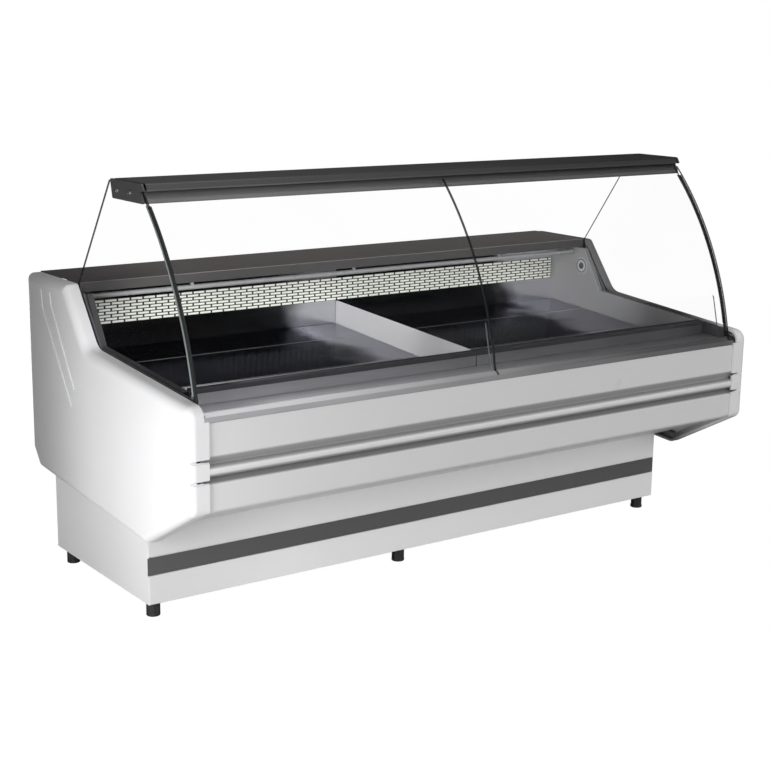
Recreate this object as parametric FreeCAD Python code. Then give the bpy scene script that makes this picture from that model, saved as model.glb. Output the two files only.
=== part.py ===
"""Serve-over refrigerated deli counter, two metres long, as separate pieces.

Millimetres.  +X runs along the counter to the customer's right, the customer
stands on the -Y side, and +Z is up.  The origin is on the floor, under the
middle of the counter.
"""
import FreeCAD, Part
import math
import os

# ---------------------------------------------------------------- overall size
LENGTH = 2060.0
DEPTH = 1016.0
HEIGHT = 1225.0
HALF_LENGTH = LENGTH / 2
REAR = DEPTH / 2
FRONT = -DEPTH / 2

# ------------------------------------------------- stations along the length (X)
CHEEK_IN = 981.0            # inner face of the moulded end cheeks
GLASS_IN = 975.0            # inner face of the side glasses
LINER_IN = 969.0            # inner face of the dark cheek liners
INSULATION_END = 968.0
WALL_IN = 950.0             # inner face of the stainless end walls
PANEL_END = CHEEK_IN - 1.5
NOSE_IN = 967.0             # edge of the cheeks' lip over the front panel
PLINTH_END = 976.0

# --------------------------------------------------------------- sheet thickness
PAINTED_SHEET = 1.5
STAINLESS = 1.2
GLASS = 6.0
INSULATION = 38.0
FOAM_DROP = 12.0            # gap between the foam's top and the end walls' ledge

# ------------------------------------------------------------------ heights (Z)
FEET_TOP = 45.0
WORKTOP_TOP = 904.0
WORKTOP_UNDER = 875.0
FRONT_TOP = 660.0           # stainless ledge behind the front glass
LEDGE_FRONT = 656.0         # the same ledge where it meets the glass
GUTTER_TOP = 628.0          # top of the insulated front wall, under the glass hinge
CANOPY_UNDER = 1172.0

# -------------------------------------------------------------- depths (Y)
PANEL_FACE = -501.0
PLINTH_FRONT = -163.0
PLINTH_REAR = 458.0
BAND_RECESS = (131.0, 188.0)   # heights of the recess for the grey band
BAND = (132.0, 183.0)
REAR_SKIN = 474.0
CAVITY_BACK = REAR_SKIN - INSULATION
TUB_LOW = (-165.0, 281.9)      # lowest corner of the tub, and where its back begins
TUB_REAR_LOW = (463.0, 326.5)
CAVITY_LOW = (-150.0, 322.0)   # lowest corner of the cavity, and the foot of its back
CAVITY_REAR_LOW = 365.0
DUCT_WALL = 372.0
AIR_OUTLET = (753.0, 818.0)
WORKTOP_FRONT = 238.0
LIP_FACE = -379.0
END_WALL_EDGE = [(205.0, WORKTOP_UNDER), (119.0, 735.0), (-370.0, 699.0)]

# --------------------------------------------------------- display deck (slopes)
DECK_SLOPE = math.tan(math.radians(3.856))
DECK_AT_ZERO = 646.2
DECK_REAR = 368.0
DECK_SEAM = 195.0
SHELF_SEAM = -92.0
TRAY_FLANGE = 15.0
TRAY_GAP = 1.0

# --------------------------------------------------------- curved front glass
ARC_Y = 518.0
ARC_Z = 498.0
ARC_R = 1003.0              # outer face of the front glass
GLASS_FOOT = 649.0
GLASS_TOP = 1196.0
HINGE_Y = -478.5
HINGE_Z = 643.0
BARREL_R = 12.8
HINGE_PIN_R = 4.0
RUNNING_FIT = 0.05
CANOPY_SCREW_Y = (-51.0, -128.0)
CANOPY_SCREW_Z = 1196.0
CANOPY_SCREW_R = 4.0
CAP_THICKNESS = 6.0
GUARD_FOOT = (-448.0, 653.0)
GUARD_LEAN = 13.7
GUARD_ENDS = (3.0, 958.0)

# ------------------------------------------------------------ cheek silhouette
ARM_FRONT = (-508.0, 686.0)
ARM_CROOK = (108.0, 733.0)
ARM_TOP = (238.0, 902.0)
BELLY_FRONT = (-507.0, 403.0)
BELLY_LOW = (-241.0, 257.0)
BELLY_REAR = (463.0, 307.0)
BELLY_BACK = 363.0
CHEEK_WALL = 4.0
CHEEK_ROUND = 24.0
NOSE_TOP = 648.0

# ------------------------------------------------------------------ bumper tube
BUMPER_Y = -492.0
BUMPER_Z = 514.0
BUMPER_R = 16.0
GROOVE_DEEP = -484.0

# --------------------------------------------------------------------- feet
FOOT_X = {"left": -944.0, "middle": -90.0, "right": 944.0}
FOOT_Y = {"front": -124.0, "rear": 416.0}
FOOT_PAD_R = 20.0
FOOT_GRIP_TOP = 41.0
STUD_R = 6.0
STUD_CLEARANCE = 0.3

# --------------------------------------------------------------------- rear doors
DOOR_GAP = 10.0
DOOR_WIDTH = 600.0
DOOR_LOW = 372.0
DOOR_HIGH = 652.0
DOOR_FACE = 501.0
DOOR_BACK = 477.3
DOOR_REVEAL = 25.0
DOOR_PIN_R = 3.0
DOOR_PIN_INSET = 6.0
DOOR_PIN_Y = 491.0

# ------------------------------------------------------------------ controls
CONTROL_X = 780.0
CONTROL_Z = 740.0
CONTROL_FACE = 484.0
KEY_TRAVEL = 1.0
KEY_GAP = 0.4
KEY_HALF_X = 8.0
KEY_HALF_Z = 5.0
KEY_PLACES = {"up": (CONTROL_X + 78.0, CONTROL_Z + 12.0),
              "down": (CONTROL_X + 78.0, CONTROL_Z - 12.0)}
ROCKER_X = CONTROL_X - 70.0
ROCKER_TILT = 6.0
ROCKER_PIN_R = 1.5

# ------------------------------------------------------------------------ fans
FAN_R = 80.0
FAN_HOLE_R = 86.0
FAN_X = 470.0
FAN_Z = 480.0
FAN_PLATE_Y = 55.0
FAN_SHAFT_R = 4.0
CONDENSER_X = 620.0
CONDENSER_Z = 173.0
MACHINE_FLOOR = 78.0
COMPRESSOR_X = 220.0
COMPRESSOR_Y = 250.0
GLAND_X = -850.0
GLAND_Z = 110.0
DRAIN_X = -300.0
DRAIN_Y = -84.0
DRAIN_LOW = 248.0
DRAIN_R = 16.0
LAMP_Y = 258.0
LAMP_Z = 858.0
PIPE_X = 220.0
PIPE_Y = 30.0
CONDENSER_FAN_Y = 345.0

X_AXIS = FreeCAD.Vector(1, 0, 0)
Y_AXIS = FreeCAD.Vector(0, 1, 0)
Z_AXIS = FreeCAD.Vector(0, 0, 1)
ORIGIN = FreeCAD.Vector(0, 0, 0)


# =================================================================== geometry kit
def vec(x, y, z):
    return FreeCAD.Vector(x, y, z)


def box(x0, x1, y0, y1, z0, z1):
    """Block between two opposite corners."""
    return Part.makeBox(x1 - x0, y1 - y0, z1 - z0, vec(x0, y0, z0))


def rod(x, y, z, axis, radius, length):
    """Cylinder that starts at a point and runs along an axis."""
    return Part.makeCylinder(radius, length, vec(x, y, z), axis)


def join(shapes):
    """Fuse touching solids into one piece."""
    first = shapes[0]
    if len(shapes) == 1:
        return first
    return first.multiFuse(shapes[1:]).removeSplitter()


def group(shapes):
    """Keep separate solids together in one node."""
    return Part.makeCompound(shapes)


def mirrored(shape):
    """The same piece on the other half of the counter."""
    return shape.mirror(ORIGIN, X_AXIS)


def both_sides(shape):
    return group([shape, mirrored(shape)])


def unit(a, b):
    dy = b[0] - a[0]
    dz = b[1] - a[1]
    length = math.hypot(dy, dz)
    return dy / length, dz / length


def corner_radius(corner):
    return corner[2] if len(corner) > 2 else 0.0


def section_edges(corners, closed):
    """Straight runs joined by tangent arcs, in the Y-Z plane.

    A corner is (y, z) or (y, z, radius).
    """
    count = len(corners)
    entries = []
    exits = []
    middles = []
    for i, corner in enumerate(corners):
        here = vec(0, corner[0], corner[1])
        radius = corner_radius(corner)
        at_end = not closed and i in (0, count - 1)
        if radius == 0.0 or at_end:
            entries.append(here)
            exits.append(here)
            middles.append(None)
            continue
        back = unit(corner, corners[i - 1])
        ahead = unit(corner, corners[(i + 1) % count])
        cosine = back[0] * ahead[0] + back[1] * ahead[1]
        half = math.acos(max(-1.0, min(1.0, cosine))) / 2
        reach = radius / math.tan(half)
        bisector = vec(0, back[0] + ahead[0], back[1] + ahead[1])
        bisector.normalize()
        entries.append(here + vec(0, back[0], back[1]) * reach)
        exits.append(here + vec(0, ahead[0], ahead[1]) * reach)
        middles.append(here + bisector * (radius / math.sin(half) - radius))
    edges = []
    for i in range(count):
        if middles[i] is not None:
            edges.append(Part.Arc(entries[i], middles[i], exits[i]).toShape())
        if i == count - 1 and not closed:
            break
        following = entries[(i + 1) % count]
        if exits[i].distanceToPoint(following) > 1e-6:
            edges.append(Part.LineSegment(exits[i], following).toShape())
    return edges


def shifted_corners(corners, distance, closed):
    """Corners of a line that runs beside this one, on its left."""
    count = len(corners)
    moved = []
    for i, corner in enumerate(corners):
        before = unit(corners[i - 1], corner) if closed or i > 0 else None
        after = unit(corner, corners[(i + 1) % count]) if closed or i < count - 1 else None
        before = before or after
        after = after or before
        n1 = (-before[1], before[0])
        n2 = (-after[1], after[0])
        scale = distance / (1 + n1[0] * n2[0] + n1[1] * n2[1])
        turn = before[0] * after[1] - before[1] * after[0]
        radius = corner_radius(corner)
        if radius > 0:
            radius = max(radius - math.copysign(distance, turn), 0.0)
        moved.append((corner[0] + (n1[0] + n2[0]) * scale,
                      corner[1] + (n1[1] + n2[1]) * scale, radius))
    return moved


def rim_edges(shape, z):
    """Edges that lie flat at a height."""
    return [edge for edge in shape.Edges
            if abs(edge.BoundBox.ZMin - z) < 1e-3 and abs(edge.BoundBox.ZMax - z) < 1e-3]


def extruded(edges, x0, x1):
    wire = Part.Wire(Part.__sortEdges__(edges))
    face = Part.Face(wire)
    face.translate(vec(x0, 0, 0))
    return face.extrude(vec(x1 - x0, 0, 0))


def prism(corners, x0, x1):
    """Closed Y-Z section run along the counter."""
    return extruded(section_edges(corners, True), x0, x1)


def folded(path, thickness, x0, x1):
    """Sheet of even thickness on the left of an open Y-Z path."""
    inner = shifted_corners(path, thickness, False)
    edges = section_edges(path, False) + section_edges(inner, False)
    for a, b in ((path[0], inner[0]), (path[-1], inner[-1])):
        edges.append(Part.LineSegment(vec(0, a[0], a[1]), vec(0, b[0], b[1])).toShape())
    return extruded(edges, x0, x1)


def deck_height(y):
    return DECK_AT_ZERO + DECK_SLOPE * y


def arc_y(z, radius):
    """Depth of the glass curve of this radius, at a height."""
    return ARC_Y - math.sqrt(radius ** 2 - (z - ARC_Z) ** 2)


def arc_point(z, radius):
    return vec(0, arc_y(z, radius), z)


def arc_edge(z0, z1, radius):
    middle = (z0 + z1) / 2
    return Part.Arc(arc_point(z0, radius), arc_point(middle, radius),
                    arc_point(z1, radius)).toShape()


def line_edge(a, b):
    return Part.LineSegment(a, b).toShape()


# ============================================================== base and plinth
def base_frame():
    """Welded square tubes with a hole over each foot."""
    tube = 30.0
    wall = 2.0
    low = FEET_TOP
    high = FEET_TOP + tube
    rail_half = PLINTH_END - PAINTED_SHEET - 0.5
    rows = [FOOT_Y["front"] - tube / 2, FOOT_Y["rear"] - tube / 2]
    columns = [-rail_half, FOOT_X["middle"] - tube / 2, rail_half - tube]
    outer = [box(-rail_half, rail_half, y, y + tube, low, high) for y in rows]
    inner = [box(-rail_half + wall, rail_half - wall, y + wall, y + tube - wall,
                 low + wall, high - wall) for y in rows]
    for x in columns:
        outer.append(box(x, x + tube, rows[0], rows[1] + tube, low, high))
        inner.append(box(x + wall, x + tube - wall, rows[0] + wall, rows[1] + tube - wall,
                         low + wall, high - wall))
    bearer_width = 20.0
    bearers = [box(x, x + bearer_width, rows[0], rows[1] + tube, high, MACHINE_FLOOR)
               for x in (110, 310, 530, 700)]
    frame = join(outer).cut(join(inner)).fuse(bearers)
    holes = [rod(x, y, low - 1, Z_AXIS, STUD_R + STUD_CLEARANCE, wall + 2)
             for x in FOOT_X.values() for y in FOOT_Y.values()]
    return frame.cut(group(holes))


def foot(x, y):
    """Levelling foot: round sole, eight-sided hand grip and threaded stud."""
    sole_top = 9.0
    grip_low = 8.0
    stud_top = 68.0
    sole = Part.makeCylinder(FOOT_PAD_R, sole_top, vec(x, y, 0))
    sole = sole.makeFillet(2.0, rim_edges(sole, 0) + rim_edges(sole, sole_top))
    angles = [math.radians(45 * i + 22.5) for i in range(9)]
    corners = [vec(x + FOOT_PAD_R * math.cos(angle), y + FOOT_PAD_R * math.sin(angle), grip_low)
               for angle in angles]
    grip = Part.Face(Part.makePolygon(corners)).extrude(vec(0, 0, FOOT_GRIP_TOP - grip_low))
    grip = grip.makeChamfer(2.5, rim_edges(grip, FOOT_GRIP_TOP))
    stud = rod(x, y, FOOT_GRIP_TOP, Z_AXIS, STUD_R, stud_top - FOOT_GRIP_TOP)
    return join([sole, grip, stud])


def plinth_front():
    """White kick panel with a shallow recess for the grey band."""
    recess = PLINTH_FRONT + 5.0
    low, high = BAND_RECESS
    path = [(PLINTH_FRONT + 12, FEET_TOP + 1), (PLINTH_FRONT, FEET_TOP + 1, 1.6),
            (PLINTH_FRONT, low), (recess, low), (recess, high), (PLINTH_FRONT, high),
            (PLINTH_FRONT, 280.0)]
    half = PLINTH_END - PAINTED_SHEET
    return folded(path[::-1], PAINTED_SHEET, -half, half)


def plinth_band():
    """Grey decorative band that lies in the recess."""
    face = PLINTH_FRONT + 0.8
    back = PLINTH_FRONT + 4.9
    low, high = BAND
    return prism([(face, low, 0.8), (back, low), (back, high), (face, high, 0.8)],
                 -PLINTH_END, PLINTH_END)


def tub_underside(y):
    """Height of the underside of the insulated tub."""
    slope = (TUB_REAR_LOW[1] - TUB_LOW[1]) / (TUB_REAR_LOW[0] - TUB_LOW[0])
    return TUB_LOW[1] + slope * (y - TUB_LOW[0])


def plinth_sides():
    """White side panels of the plinth, notched for the ends of the grey band."""
    front = PLINTH_FRONT
    rear = PLINTH_REAR - PAINTED_SHEET - 0.5
    corners = [(front, FEET_TOP + 1), (rear, FEET_TOP + 1),
               (rear, tub_underside(rear) - 1), (front, tub_underside(front) - 1)]
    panel = prism(corners, PLINTH_END - PAINTED_SHEET, PLINTH_END)
    notch = box(PLINTH_END - 5, PLINTH_END + 5, front - 1, front + 5.5,
                BAND[0] - 1, BAND[1] + 1)
    return both_sides(panel.cut(notch))


def plinth_rear_grille():
    """Rear cover of the machine space, with rows of louvre slots."""
    panel = box(-PLINTH_END, PLINTH_END, PLINTH_REAR - PAINTED_SHEET, PLINTH_REAR,
                FEET_TOP + 1, tub_underside(PLINTH_REAR) - 1)
    slot_length = 180.0
    slot_height = 7.0
    slots = []
    for column in range(3):
        for row in range(9):
            x = 300.0 + column * 205.0
            z = 90.0 + row * 20.0
            slots.append(box(x, x + slot_length, PLINTH_REAR - 5, PLINTH_REAR + 5,
                             z, z + slot_height))
    gland = rod(GLAND_X, PLINTH_REAR - 5, GLAND_Z, Y_AXIS, 8.2, 10)
    return panel.cut(group(slots + [gland]))


def cable_gland():
    """Threaded gland where the supply cable enters."""
    body = rod(GLAND_X, PLINTH_REAR - 12, GLAND_Z, Y_AXIS, 8.0, 12 + 14)
    nut = rod(GLAND_X, PLINTH_REAR, GLAND_Z, Y_AXIS, 12.0, 8)
    lock = rod(GLAND_X, PLINTH_REAR - PAINTED_SHEET - 5, GLAND_Z, Y_AXIS, 12.0, 5)
    bore = rod(GLAND_X, PLINTH_REAR - 20, GLAND_Z, Y_AXIS, 4.5, 50)
    return join([body, nut, lock]).cut(bore)


# ======================================================= refrigeration machinery
def compressor():
    """Sealed compressor on a base plate, with its terminal box."""
    x = COMPRESSOR_X
    y = COMPRESSOR_Y
    low = MACHINE_FLOOR
    pot_low = low + 14
    pot_top = low + 132
    plate = box(x - 120, x + 120, y - 90, y + 90, low, low + 3)
    pot = Part.makeCylinder(72, pot_top - pot_low, vec(x, y, pot_low))
    pot = pot.makeFillet(34, rim_edges(pot, pot_top))
    pot = pot.makeFillet(20, rim_edges(pot, pot_low))
    waist = Part.makeCylinder(76, 8, vec(x, y, low + 66))
    legs = [Part.makeCylinder(14, 30, vec(x + sx * 52, y + sy * 40, low + 3))
            for sx in (-1, 1) for sy in (-1, 1)]
    terminals = box(x + 60, x + 96, y - 30, y + 30, low + 50, low + 100)
    return join([plate, pot, waist, terminals] + legs)


def condenser_coil():
    """Finned condenser block between its two end plates."""
    width = 250.0
    height = 190.0
    depth = 45.0
    fin = 1.2
    fin_pitch = 10.0
    tube_pitch = 27.0
    y0 = 395.0
    x0 = CONDENSER_X - width / 2
    z0 = CONDENSER_Z - height / 2
    fins = [box(x0 + fin_pitch * i, x0 + fin_pitch * i + fin, y0, y0 + depth, z0, z0 + height)
            for i in range(26)]
    tubes = [rod(x0 - 6, y0 + 12 + 22 * (i % 2), z0 + 15 + tube_pitch * i, X_AXIS, 4.5,
                 width + 12) for i in range(7)]
    return join(fins + tubes)


def condenser_fan_shroud():
    """Square shroud, motor and spider behind the condenser."""
    half = 98.0
    plate_y = 378.0
    bridge_y = 300.0
    strap = 6.0
    arm_out = 92.0
    plate = box(CONDENSER_X - half, CONDENSER_X + half, plate_y, plate_y + 3,
                CONDENSER_Z - half + 4, CONDENSER_Z + half)
    hole = rod(CONDENSER_X, plate_y - 8, CONDENSER_Z, Y_AXIS, FAN_HOLE_R, 20)
    plate = plate.cut(hole)
    motor = rod(CONDENSER_X, CONDENSER_FAN_Y - 62, CONDENSER_Z, Y_AXIS, 34, 46)
    shaft = rod(CONDENSER_X, CONDENSER_FAN_Y - 16, CONDENSER_Z, Y_AXIS, FAN_SHAFT_R, 44)
    arms = []
    for sx in (-1, 1):
        x = CONDENSER_X + sx * arm_out
        arms.append(box(x - 4, x + 4, bridge_y, plate_y, CONDENSER_Z - strap,
                        CONDENSER_Z + strap))
    reach = arm_out + 4
    bridge = box(CONDENSER_X - reach, CONDENSER_X + reach, bridge_y - 4, bridge_y,
                 CONDENSER_Z - strap, CONDENSER_Z + strap)
    return join([motor, shaft, bridge] + arms + [plate])


def rotor(x, y, z):
    """Five-bladed fan wheel on a hub with a running-fit bore, axis along Y."""
    hub = rod(x, y - 12, z, Y_AXIS, 24, 26)
    root = 18.0
    pitch_angle = 24.0
    blade_profile = [vec(root, 0, -3), vec(FAN_R - 4, 0, -24), vec(FAN_R, 0, 0),
                     vec(FAN_R - 5, 0, 26), vec(root, 0, 12), vec(root, 0, -3)]
    blade = Part.Face(Part.makePolygon(blade_profile)).extrude(vec(0, 2.0, 0))
    blade.rotate(ORIGIN, X_AXIS, pitch_angle)
    blades = []
    for i in range(5):
        turned = blade.copy()
        turned.rotate(ORIGIN, Y_AXIS, 72 * i)
        turned.translate(vec(x, y, z))
        blades.append(turned)
    bore = rod(x, y - 40, z, Y_AXIS, FAN_SHAFT_R + RUNNING_FIT, 80)
    return join([hub] + blades).cut(bore)


def condenser_fan_rotor():
    return rotor(CONDENSER_X, CONDENSER_FAN_Y + 5, CONDENSER_Z)


def evaporator_coil():
    """Finned evaporator that lies under the display deck."""
    pitch = 40.0
    half = 800.0
    low = 352.0
    fins = [box(-half + pitch * i, -half + pitch * i + 1.2, -170, 0, low, 540)
            for i in range(41)]
    tubes = [rod(-half - 10, -150 + 43 * (i % 4), 385 + 60 * (i // 4), X_AXIS, 6, 2 * half + 20)
             for i in range(12)]
    legs = [box(x - 2, x + 2, -60, -20, cavity_floor(-20) + 1.1, low) for x in (-half, 0, half)]
    return join(fins + tubes + legs)


def pipe(points, radius):
    """Round pipe through a list of points, with ball-shaped elbows."""
    pieces = []
    for start, end in zip(points[:-1], points[1:]):
        run = vec(*end) - vec(*start)
        pieces.append(Part.makeCylinder(radius, run.Length, vec(*start), run))
    pieces += [Part.makeSphere(radius, vec(*point)) for point in points[1:-1]]
    return join(pieces)


def refrigerant_pipes():
    """Suction line to the evaporator and discharge line to the condenser."""
    suction = pipe([(PIPE_X, 177.9, 130), (PIPE_X, PIPE_Y, 130), (PIPE_X, PIPE_Y, 445),
                    (PIPE_X, -14.9, 445)], 6.0)
    discharge = pipe([(282.5, 210, 120), (420, 210, 120), (420, 429, 120), (488.9, 429, 120)], 4.0)
    return group([suction, discharge])


def pipe_hole():
    return rod(PIPE_X, PIPE_Y, 250, Z_AXIS, 10.0, 120)


def evaporator_fan_panel():
    """Cross panel with two fan openings, motors and their shafts."""
    floor = cavity_floor(FAN_PLATE_Y) + 2.0
    bridge_y = FAN_PLATE_Y + 60
    arm_out = 94.0
    panel = box(-WALL_IN + 1, WALL_IN - 1, FAN_PLATE_Y, FAN_PLATE_Y + STAINLESS, floor, 615)
    pieces = []
    holes = []
    for x in (-FAN_X, FAN_X):
        holes.append(rod(x, FAN_PLATE_Y - 10, FAN_Z, Y_AXIS, FAN_HOLE_R, 20))
        pieces.append(rod(x, FAN_PLATE_Y + 46, FAN_Z, Y_AXIS, 32, 40))
        pieces.append(rod(x, FAN_PLATE_Y + 4, FAN_Z, Y_AXIS, FAN_SHAFT_R, 44))
        for sx in (-1, 1):
            arm_x = x + sx * arm_out
            pieces.append(box(arm_x - 3, arm_x + 3, FAN_PLATE_Y + 0.5, bridge_y,
                              FAN_Z - 6, FAN_Z + 6))
        pieces.append(box(x - arm_out - 3, x + arm_out + 3, bridge_y - 4, bridge_y,
                          FAN_Z - 6, FAN_Z + 6))
    return join([panel.cut(group(holes))] + pieces)


def evaporator_fan(x):
    return rotor(x, FAN_PLATE_Y + 20, FAN_Z)


# =============================================================== insulated tub
def tub_path():
    """Outer skin of the tub, from the front edge round to the rear edge."""
    return [(-480.0, GUTTER_TOP), (-480.0, 400.0, 6), TUB_LOW + (6,), TUB_REAR_LOW + (6,),
            (REAR_SKIN, TUB_REAR_LOW[1] + 18, 4),
            (REAR_SKIN, WORKTOP_UNDER)]


def cavity_path():
    """Inner faces of the insulated walls, from the front edge to the rear edge."""
    return [(-440.0, GUTTER_TOP), (-440.0, 440.0, 12), CAVITY_LOW + (12,),
            (CAVITY_BACK, CAVITY_REAR_LOW, 12), (CAVITY_BACK, WORKTOP_UNDER)]


def cavity_floor(y):
    """Height of the bottom of the cavity."""
    rise = (CAVITY_REAR_LOW - CAVITY_LOW[1]) / (CAVITY_BACK - CAVITY_LOW[0])
    return CAVITY_LOW[1] + (y - CAVITY_LOW[0]) * rise


def door_openings():
    """Through cuts in the rear wall behind the two doors."""
    cuts = []
    for side in (-1, 1):
        x0 = side * (DOOR_GAP + DOOR_REVEAL)
        x1 = side * (DOOR_GAP + DOOR_WIDTH - DOOR_REVEAL)
        cuts.append(box(min(x0, x1), max(x0, x1), 400, 490,
                        DOOR_LOW + DOOR_REVEAL, DOOR_HIGH - DOOR_REVEAL))
    return group(cuts)


def tub_shell():
    """Painted outer skin of the tub."""
    skin = folded(tub_path(), PAINTED_SHEET, -CHEEK_IN + 1, CHEEK_IN - 1)
    return skin.cut(door_openings()).cut(group([drain_bore(DRAIN_R + 4), pipe_hole()]))


def end_insulation_corners():
    """Side walls of the tub, which stop just below the end walls' ledge."""
    inner = shifted_corners(tub_path(), PAINTED_SHEET, False)
    top = shifted_corners(END_WALL_EDGE, FOAM_DROP, False)
    return inner + top + [(top[-1][0], LEDGE_FRONT - 5), (-440.0, LEDGE_FRONT - 5),
                          (-440.0, GUTTER_TOP)]


def foam_board_zones():
    """Y-Z zones of the foam boards: front, slope, floor and rear.

    Each bend is a line across the wall, from a point outside it to a point in the tub.
    """
    bends = [((-560.0, FRONT_TOP), (-400.0, FRONT_TOP)), ((-520.0, 360.0), (-400.0, 480.0)),
             ((-181.0, 240.0), (-134.0, 365.0)), ((500.0, 272.0), (370.0, 412.0)),
             ((500.0, WORKTOP_TOP), (370.0, WORKTOP_TOP))]
    return [[a[0], b[0], b[1], a[1]] for a, b in zip(bends[:-1], bends[1:])]


def foam_end_boards():
    """Side boards of one end, parted at the bend of the end wall's edge."""
    end = prism(end_insulation_corners(), WALL_IN + 2, INSULATION_END)
    bend = END_WALL_EDGE[1][0]
    zones = [(FRONT, bend), (bend, REAR)]
    return [end.common(box(WALL_IN, LINER_IN, y0, y1, 200, WORKTOP_TOP)) for y0, y1 in zones]


def rear_board_columns():
    """X ranges of the rear boards: beside, between and across the doors."""
    reveal = DOOR_GAP + DOOR_REVEAL
    jamb = DOOR_GAP + DOOR_WIDTH - DOOR_REVEAL
    stops = [-WALL_IN - 2, -jamb, -reveal, reveal, jamb, WALL_IN + 2]
    return list(zip(stops[:-1], stops[1:]))


def tub_foam():
    """Rigid foam boards between the two skins, and in the ends of the tub."""
    outer = shifted_corners(tub_path(), PAINTED_SHEET, False)
    wall = prism(outer + cavity_path()[::-1], -WALL_IN - 2, WALL_IN + 2)
    zones = [prism(zone, -WALL_IN - 3, WALL_IN + 3) for zone in foam_board_zones()]
    boards = [wall.common(zone) for zone in zones[:-1]]
    rear = wall.common(zones[-1]).cut(door_openings())
    for x0, x1 in rear_board_columns():
        boards.append(rear.common(box(x0, x1, 300, REAR, 200, WORKTOP_TOP)))
    ends = foam_end_boards()
    boards += ends + [mirrored(board) for board in ends]
    cuts = group([drain_bore(DRAIN_R + 4), pipe_hole()])
    return group([solid for board in boards for solid in board.cut(cuts).Solids])


def drain_bore(radius):
    return rod(DRAIN_X, DRAIN_Y, DRAIN_LOW, Z_AXIS, radius, 100)


def tub_liner():
    """Stainless liner with a drain pipe in its lowest part."""
    skin = folded(cavity_path(), 1.0, -WALL_IN + 0.2, WALL_IN - 0.2)
    flange = cavity_floor(DRAIN_Y) + 3.6
    drain = rod(DRAIN_X, DRAIN_Y, DRAIN_LOW, Z_AXIS, DRAIN_R + 3.5, flange - DRAIN_LOW)
    drain = drain.fuse(rod(DRAIN_X, DRAIN_Y, flange, Z_AXIS, DRAIN_R + 14, 1.2))
    skin = skin.cut(door_openings()).fuse(drain)
    return skin.cut(group([drain_bore(DRAIN_R), pipe_hole()]))


def end_walls():
    """Stainless end walls with an outward ledge and a round cover."""
    rear = CAVITY_BACK - 1.2
    cover_y = 212.0
    cover_z = 812.0
    corners = [(rear, 370.0), (rear, WORKTOP_UNDER)] + END_WALL_EDGE + [(-370.0, 416.5),
                                                                        (-149.0, 326.0)]
    plate = prism(corners, WALL_IN, WALL_IN + 1.5)
    ledge = folded(END_WALL_EDGE, 1.5, WALL_IN, INSULATION_END)
    cover = rod(WALL_IN - 3, cover_y, cover_z, X_AXIS, 24, 3.2)
    rim = rod(WALL_IN - 1.5, cover_y, cover_z, X_AXIS, 30, 1.7)
    return both_sides(join([plate, ledge, cover, rim]))


# =================================================================== display deck
def deck_bearers():
    """Cross bars that the trays rest on."""
    bar_height = 18.0
    bars = []
    for y0, y1 in ((SHELF_SEAM - 18, SHELF_SEAM + 18), (DECK_SEAM - 16, DECK_SEAM + 16),
                   (DECK_REAR - 26, DECK_REAR - 1)):
        top = deck_height(y0) - TRAY_FLANGE - STAINLESS - 0.5
        bars.append(box(-WALL_IN, WALL_IN, y0, y1, top - bar_height, top))
    return group(bars)


def deck_tray(side, y0, y1):
    """Stainless tray with turned-down rims, laid on the slope of the deck."""
    x0 = 4.0
    x1 = WALL_IN - 4.0
    outer = box(x0, x1, y0, y1, -TRAY_FLANGE, 0)
    inner = box(x0 + STAINLESS, x1 - STAINLESS, y0 + STAINLESS, y1 - STAINLESS,
                -TRAY_FLANGE - 1, -STAINLESS)
    rims = [edge for edge in outer.Edges
            if abs(edge.BoundBox.ZMin) < 1e-6 and abs(edge.BoundBox.ZMax) < 1e-6]
    tray = outer.makeFillet(1.0, rims).cut(inner)
    slope = math.degrees(math.atan(DECK_SLOPE))
    tray.rotate(vec(0, y0, 0), X_AXIS, slope)
    tray.translate(vec(0, 0, deck_height(y0)))
    return tray if side > 0 else mirrored(tray)


def bay_divider():
    """Stainless plate between the two display bays."""
    corners = [(371.0, 655.0), (371.0, 747.0, 6), (-354.0, 705.0, 6), (-354.0, 612.0)]
    return prism(corners, -1.0, 1.0)


def rear_wall():
    """Stainless back of the display, with a long air outlet."""
    wall = box(-WALL_IN + 0.2, WALL_IN - 0.2, DUCT_WALL, DUCT_WALL + STAINLESS,
               655, WORKTOP_UNDER)
    outlet = box(-WALL_IN + 12, WALL_IN - 12, DUCT_WALL - 5, DUCT_WALL + 5, *AIR_OUTLET)
    return wall.cut(outlet)


def air_grille():
    """Outlet grille: slots laid like the upright joints of a brick wall."""
    rows = 8
    low = 748.0
    row_height = 9.4
    pitch = 43.0
    half = 945.0
    plate = box(-half, half, DUCT_WALL - 2.5, DUCT_WALL, low, low + rows * row_height)
    slots = []
    for row in range(rows):
        start = -half + (pitch if row % 2 else pitch / 2)
        count = int((half - start) // pitch) + int(half // pitch)
        for i in range(count):
            x = start + pitch * i
            if x > half - 6:
                break
            z = low + row * row_height
            slots.append(box(x - 1.2, x + 1.2, DUCT_WALL - 4, DUCT_WALL + 2,
                             z + 1.2, z + row_height - 1.2))
    return plate.cut(group(slots))


# ================================================================= front edge
def front_lip():
    """Upstand behind the glass that carries on back as the return-air shelf."""
    path = [(LIP_FACE, FRONT_TOP + 0.3), (LIP_FACE, 697.0, 3), (-358.0, 697.0, 3),
            (-350.0, deck_height(-350.0), 3), (SHELF_SEAM - TRAY_GAP, deck_height(SHELF_SEAM), 2),
            (SHELF_SEAM - TRAY_GAP, deck_height(SHELF_SEAM) - TRAY_FLANGE)]
    sheet = folded(path[::-1], PAINTED_SHEET, 2.0, WALL_IN - 1)
    slots = []
    for i in range(14):
        x = 30.0 + 65.0 * i
        for z in (642.0, 664.0):
            slots.append(box(x, x + 50, -362, -340, z, z + 8))
    return both_sides(sheet.cut(group(slots)))


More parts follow.
